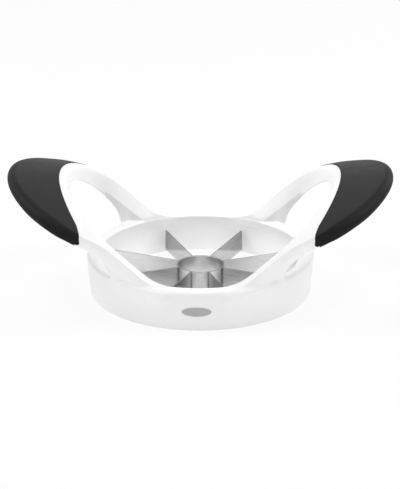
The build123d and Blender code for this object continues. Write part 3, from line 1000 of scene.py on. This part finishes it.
def soft_touch(nodes, given, made):
    """Soft rubbery coat: close matt pebbles, dusty in patches, and a painted highlight: the upward faces get
    a paler colour, standing in for light from above. The painted highlight stops short of the grip's outer
    fold, which keeps the darker colour as painted shade."""
    place = in_millimetres(nodes)
    pebbles = nodes.add("ShaderNodeTexVoronoi", feature="SMOOTH_F1")
    nodes.put(pebbles.inputs["Vector"], place)
    nodes.put(pebbles.inputs["Scale"], nodes.over(1.0, given["Pebble Size"]))
    patches = nodes.noise(place, nodes.over(1.0, given["Patch Size"]), 4.0)
    # Painted highlight: upward faces get a paler colour; the band along the outer fold is left out of it as
    # painted shade.
    facing = nodes.apart(nodes.add("ShaderNodeNewGeometry").outputs["Normal"])[2]
    upward = nodes.window(facing, given["Top Light From"], given["Top Light To"])
    x, y, _ = nodes.apart(place)
    reach = nodes.less(nodes.math("ABSOLUTE", x), OUTER_CENTRE)
    past_end = nodes.less(nodes.length(reach, y), RIM_RADIUS + FOLD_REACH - OUTER_CENTRE)
    past_side = nodes.less(nodes.math("ABSOLUTE", y), ARM_INNER_Y + FOLD_OFFSET)
    past = nodes.math("MAXIMUM", past_end, past_side)
    upward = nodes.times(upward, nodes.window(past, given["Shaded Rim Width"], given["Shaded Rim Fade"]))
    level = nodes.plus(given["Level"], nodes.times(upward, given["Painted Top Light"]))
    mottle = nodes.times(nodes.less(patches, 0.5), given["Mottle"])
    nodes.put(made["Colour"], nodes.grey(nodes.plus(level, mottle, clamp=True)))
    nodes.put(made["Roughness"], nodes.between(patches, given["Smooth"], given["Rough"]))
    height = nodes.plus(pebbles.outputs["Distance"], nodes.times(patches, PATCH_SHARE))
    nodes.put(made["Normal"], nodes.bump(height, given["Pebble Depth"], PEBBLE_HEIGHT * MM))


def brushed(nodes, given, made):
    """Steel with fine lines that run out from the axis, or round it. Sheared edges are dull and darker.
    The rear blades get a painted reflection that is darker on their upper part, the front ones get a painted
    shade, faces turned sideways get a darker painted reflection, and the colour is darker where the blades
    meet the core."""
    place = in_millimetres(nodes)
    x, y, z = nodes.apart(place)
    normal = nodes.add("ShaderNodeNewGeometry").outputs["Normal"]
    _, front, up = nodes.apart(normal)
    radius = nodes.length(x, y)
    turn = nodes.math("ARCTAN2", y, x)
    along = nodes.between(given["Round"], radius, nodes.times(turn, LINES_ROUND))
    across = nodes.over(z, given["Line Width"])
    stretched = nodes.over(along, given["Line Length"])
    apart_turn = nodes.times(turn, nodes.less(1.0, given["Round"]))
    spread = nodes.times(apart_turn, PLATES_APART)
    lines = nodes.noise(nodes.joined(stretched, across, spread), 1.0, 3.0)
    long_way = nodes.times(stretched, CLOUD_LENGTH)
    broad = nodes.noise(nodes.joined(long_way, nodes.times(across, CLOUD_WIDTH), apart_turn), 1.0)
    far = nodes.window(radius, given["Core"], given["Wall"])
    facing = nodes.math("ABSOLUTE", front)
    level = nodes.between(far, given["Level At Core"], given["Level At Wall"])
    # Painted reflection: steel facing sideways gets a darker colour, standing in for the dark surroundings
    # it would reflect.
    painted_side_reflection = nodes.between(nodes.window(facing, *REFLECTION_FACING), given["Side Share"], 1.0)
    level = nodes.times(level, painted_side_reflection)
    # Painted reflection: the rear blades are darker above a slanted line, standing in for the shaded wall
    # they would reflect.
    reflection_line = nodes.plus(z, nodes.times(radius, given["Reflection Line Slope"]))
    painted_reflection = nodes.window(reflection_line, given["Reflection Line Edge"], nodes.plus(given["Reflection Line Edge"], REFLECTION_LINE_SOFT))
    rear = nodes.less(y, nodes.math("ABSOLUTE", x))
    painted_reflection = nodes.times(painted_reflection, nodes.window(rear, *PAINTED_REFLECTION_REAR))
    level = nodes.times(level, nodes.between(painted_reflection, 1.0, given["Film Level"]))
    # Darker colour where the blades meet the core ring.
    spoke = nodes.math("ABSOLUTE", nodes.math("COSINE", nodes.times(turn, BLADE_COUNT / 2)))
    outside = nodes.times(nodes.window(spoke, *SPOKE_NEAR), nodes.window(radius, *RING_OUTSIDE))
    joint = nodes.between(given["Round"], nodes.window(radius, *JOINT_REACH), outside)
    level = nodes.times(level, nodes.between(joint, 1.0, given["Joint Level"]))
    # Painted shade: the front blades get a darker colour, standing in for the dark surroundings they would
    # reflect.
    painted_front_shade = nodes.less(nodes.times(y, -1.0), nodes.math("ABSOLUTE", x))
    painted_front_shade = nodes.window(painted_front_shade, *FRONT_SHADE_FROM)
    level = nodes.times(level, nodes.between(painted_front_shade, 1.0, given["Ahead Level"]))
    streak = nodes.times(nodes.less(lines, 0.5), given["Streak"])
    cloud = nodes.times(nodes.less(broad, 0.5), given["Cloud"])
    level = nodes.times(level, nodes.plus(1.0, nodes.plus(streak, cloud)))
    cut_edge = nodes.window(nodes.math("ABSOLUTE", up), *CUT_FACING)
    level = nodes.between(cut_edge, level, given["Edge Level"])
    nodes.put(made["Colour"], nodes.grey(level))
    rough = nodes.plus(given["Roughness"], nodes.times(lines, given["Roughness Change"]))
    nodes.put(made["Roughness"], nodes.between(cut_edge, rough, CUT_ROUGHNESS))
    nodes.put(made["Metal"], nodes.between(cut_edge, 1.0, CUT_METAL))
    nodes.put(made["Normal"], nodes.bump(lines, given["Line Depth"], LINE_HEIGHT * MM))


SHADES = {"Colour": "NodeSocketColor", "Roughness": "NodeSocketFloat", "Normal": "NodeSocketVector"}
MOULDED = effect("moulded_plastic", {
    "Level": 0.92, "Colour Change": 0.012, "Roughness": 0.34, "Gloss Change": 0.1,
    "Grain Size": 0.16, "Ripple Size": 9.0, "Grain Depth": 0.12, "Core Side": 0.17}, SHADES, moulded)
SOFT_TOUCH = effect("soft_touch_coat", {
    "Level": 0.004, "Mottle": 0.004, "Painted Top Light": 0.015, "Top Light From": 0.55, "Top Light To": 0.95,
    "Shaded Rim Width": -1.0, "Shaded Rim Fade": -3.0, "Smooth": 0.55, "Rough": 0.72,
    "Pebble Size": 0.42, "Patch Size": 6.0, "Pebble Depth": 0.35}, SHADES, soft_touch)
BRUSHED = effect("brushed_steel", {
    "Level At Core": 0.75, "Level At Wall": 0.82, "Core": 14.0, "Wall": 46.0, "Side Share": 0.86,
    "Streak": 0.5, "Cloud": 0.22, "Edge Level": 0.2, "Roughness": 0.2, "Roughness Change": 0.2,
    "Line Width": 0.14, "Line Length": 14.0, "Line Depth": 0.2, "Round": 0.0,
    "Reflection Line Slope": 0.354, "Reflection Line Edge": 20.0, "Film Level": 0.53, "Joint Level": 0.6, "Ahead Level": 0.56},
    SHADES | {"Metal": "NodeSocketFloat"}, brushed)


def finish(name, tree, settings=(), **shader_values):
    """A material whose shader takes its colour, roughness and normal from an effect."""
    material = bpy.data.materials.new(name)
    material.use_nodes = True
    nodes = Nodes(material.node_tree)
    shader = material.node_tree.nodes["Principled BSDF"]
    source = nodes.add("ShaderNodeGroup", node_tree=tree)
    for label, value in dict(settings).items():
        source.inputs[label].default_value = value
    for label, socket in (("Colour", "Base Color"), ("Roughness", "Roughness"), ("Normal", "Normal"),
                          ("Metal", "Metallic")):
        if label in source.outputs:
            nodes.put(shader.inputs[socket], source.outputs[label])
    for label, value in shader_values.items():
        shader.inputs[label.replace("_", " ")].default_value = value
    return material


WHITE = finish("white_plastic_fine", MOULDED)
SOFT = finish("soft_grip_fine", SOFT_TOUCH, Specular_IOR_Level=0.2)
BLADE = finish("blade_steel_fine", BRUSHED)
RING = finish("ring_steel_fine", BRUSHED, {
    "Round": 1.0, "Core": 8.0, "Wall": 9.0, "Level At Core": 0.7, "Level At Wall": 0.86, "Side Share": 0.42,
    "Line Length": 6.0, "Streak": 0.3, "Film Level": 1.0, "Ahead Level": 1.0})
GREY = finish("badge_grey_fine", MOULDED, {
    "Level": 0.43, "Colour Change": 0.03, "Roughness": 0.42, "Grain Size": 0.12, "Ripple Size": 2.0})


# ---------------------------------------------------------------- studio

def camera():
    """The camera, on a circle round a point just above the drum's rim."""
    turn, rise = math.radians(VIEW_TURN), math.radians(VIEW_RISE)
    back = Vector((math.sin(turn) * math.cos(rise), -math.cos(turn) * math.cos(rise), math.sin(rise)))
    place = (Vector((AIM_X, 0.0, AIM_Z)) + back * VIEW_DISTANCE) * MM
    right = (-back).cross(Vector((0, 0, 1))).normalized()
    up = right.cross(-back)
    roll = math.radians(VIEW_ROLL)
    level = math.cos(roll) * right + math.sin(roll) * up
    upright = -math.sin(roll) * right + math.cos(roll) * up
    data = bpy.data.cameras.new("camera")
    data.sensor_fit = "VERTICAL"
    data.sensor_height = SENSOR
    data.sensor_width = SENSOR
    data.lens = FOCAL_PIXELS / FRAME_PIXELS * SENSOR
    data.clip_start = CLIP_START
    data.clip_end = CLIP_END
    eye = bpy.data.objects.new("camera", data)
    turned_to = Matrix((level, upright, back)).transposed()
    eye.matrix_world = Matrix.Translation(place) @ turned_to.to_4x4()
    scene.collection.objects.link(eye)
    scene.camera = eye


def studio():
    """Plain white surroundings, a white floor that keeps the shadow, and soft lamps."""
    world = bpy.data.worlds.new("surroundings")
    scene.world = world
    world.use_nodes = True
    nodes, links = world.node_tree.nodes, world.node_tree.links
    nodes.clear()
    path = nodes.new("ShaderNodeLightPath")
    lit = nodes.new("ShaderNodeMath")
    lit.operation = "MAXIMUM"
    seen = nodes.new("ShaderNodeMath")
    seen.operation = "MAXIMUM"
    links.new(path.outputs["Is Camera Ray"], lit.inputs[0])
    links.new(path.outputs["Is Glossy Ray"], lit.inputs[1])
    links.new(lit.outputs[0], seen.inputs[0])
    links.new(path.outputs["Is Transmission Ray"], seen.inputs[1])
    dim = nodes.new("ShaderNodeBackground")
    dim.inputs["Strength"].default_value = SKY_LEVEL
    bright = nodes.new("ShaderNodeBackground")
    bright.inputs["Strength"].default_value = SEEN_LEVEL
    for background in (dim, bright):
        background.inputs["Color"].default_value = (1, 1, 1, 1)
    either = nodes.new("ShaderNodeMixShader")
    out = nodes.new("ShaderNodeOutputWorld")
    links.new(seen.outputs[0], either.inputs["Fac"])
    links.new(dim.outputs[0], either.inputs[1])
    links.new(bright.outputs[0], either.inputs[2])
    links.new(either.outputs[0], out.inputs["Surface"])

    corners = [(x * FLOOR_HALF, y * FLOOR_HALF, 0.0) for x, y in ((-1, -1), (1, -1), (1, 1), (-1, 1))]
    floor = new_piece("floor", corners, [(0, 1, 2, 3)])
    floor.data.materials.append(floor_white())

    for name, (place, size, power) in LAMPS.items():
        lamp = bpy.data.lights.new(name, "AREA")
        lamp.size = size
        lamp.energy = power
        hung(lamp, place, LAMP_TARGET)
    for name, (place, target, radius, power) in SPOTS.items():
        lamp = bpy.data.lights.new(name, "SPOT")
        lamp.spot_size = 2 * math.atan(radius / (Vector(target) - Vector(place)).length)
        lamp.spot_blend = SPOT_BLEND
        lamp.shadow_soft_size = SPOT_SIZE
        lamp.energy = power
        hung(lamp, place, target)


def hung(lamp, place, target):
    """Puts a lamp at a place, turned to a target."""
    holder = bpy.data.objects.new(lamp.name, lamp)
    aim = Vector(target) - Vector(place)
    holder.matrix_world = Matrix.Translation(place) @ aim.to_track_quat("-Z", "Y").to_matrix().to_4x4()
    scene.collection.objects.link(holder)


def floor_white():
    """White matt paper: a light shadow for the camera, and a painted glow, for though the floor is no lamp,
    it shines on what stands on it.
    """
    material = bpy.data.materials.new("floor_white")
    material.use_nodes = True
    shader = material.node_tree.nodes["Principled BSDF"]
    shader.inputs["Base Color"].default_value = (FLOOR_COLOUR, FLOOR_COLOUR, FLOOR_COLOUR, 1.0)
    shader.inputs["Roughness"].default_value = FLOOR_ROUGHNESS
    nodes, links = material.node_tree.nodes, material.node_tree.links
    path = nodes.new("ShaderNodeLightPath")
    part = nodes.new("ShaderNodeMath")
    part.operation = "MULTIPLY"
    part.inputs[1].default_value = FLOOR_LIFT
    lift = nodes.new("ShaderNodeEmission")
    either = nodes.new("ShaderNodeMixShader")
    links.new(path.outputs["Is Camera Ray"], part.inputs[0])
    links.new(part.outputs[0], either.inputs["Fac"])
    links.new(nodes["Principled BSDF"].outputs[0], either.inputs[1])
    links.new(lift.outputs[0], either.inputs[2])
    # Painted light: for diffuse rays the floor glows and lights the object from below.
    below = nodes.new("ShaderNodeMath")
    below.operation = "MULTIPLY"
    below.inputs[1].default_value = FLOOR_GLOW
    links.new(path.outputs["Is Diffuse Ray"], below.inputs[0])
    glow = nodes.new("ShaderNodeEmission")
    links.new(below.outputs[0], glow.inputs["Strength"])
    both = nodes.new("ShaderNodeAddShader")
    links.new(either.outputs[0], both.inputs[0])
    links.new(glow.outputs[0], both.inputs[1])
    links.new(both.outputs[0], nodes["Material Output"].inputs["Surface"])
    return material


# ---------------------------------------------------------------- the slicer

camera()
studio()

moulding = body_frame(WHITE)
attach(moulding, "root")
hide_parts("body_frame")

for node, flip in (("grip_right", False), ("grip_left", True)):
    soft = grip(f"{node}_soft", flip, SOFT)
    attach(soft, "root")
    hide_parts(node)

wheel = blade_wheel(BLADE)
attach(wheel, "root")
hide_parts(*[f"blade_{number}" for number in range(1, BLADE_COUNT + 1)])

ring = core_ring(RING)
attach(ring, "root")
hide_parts("core_ring")

closing = closing_ring(WHITE)
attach(closing, "root")
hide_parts("base_ring")

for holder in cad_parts["badge_plate"].material_slots:
    holder.material = GREY

scene.view_settings.view_transform = "Standard"
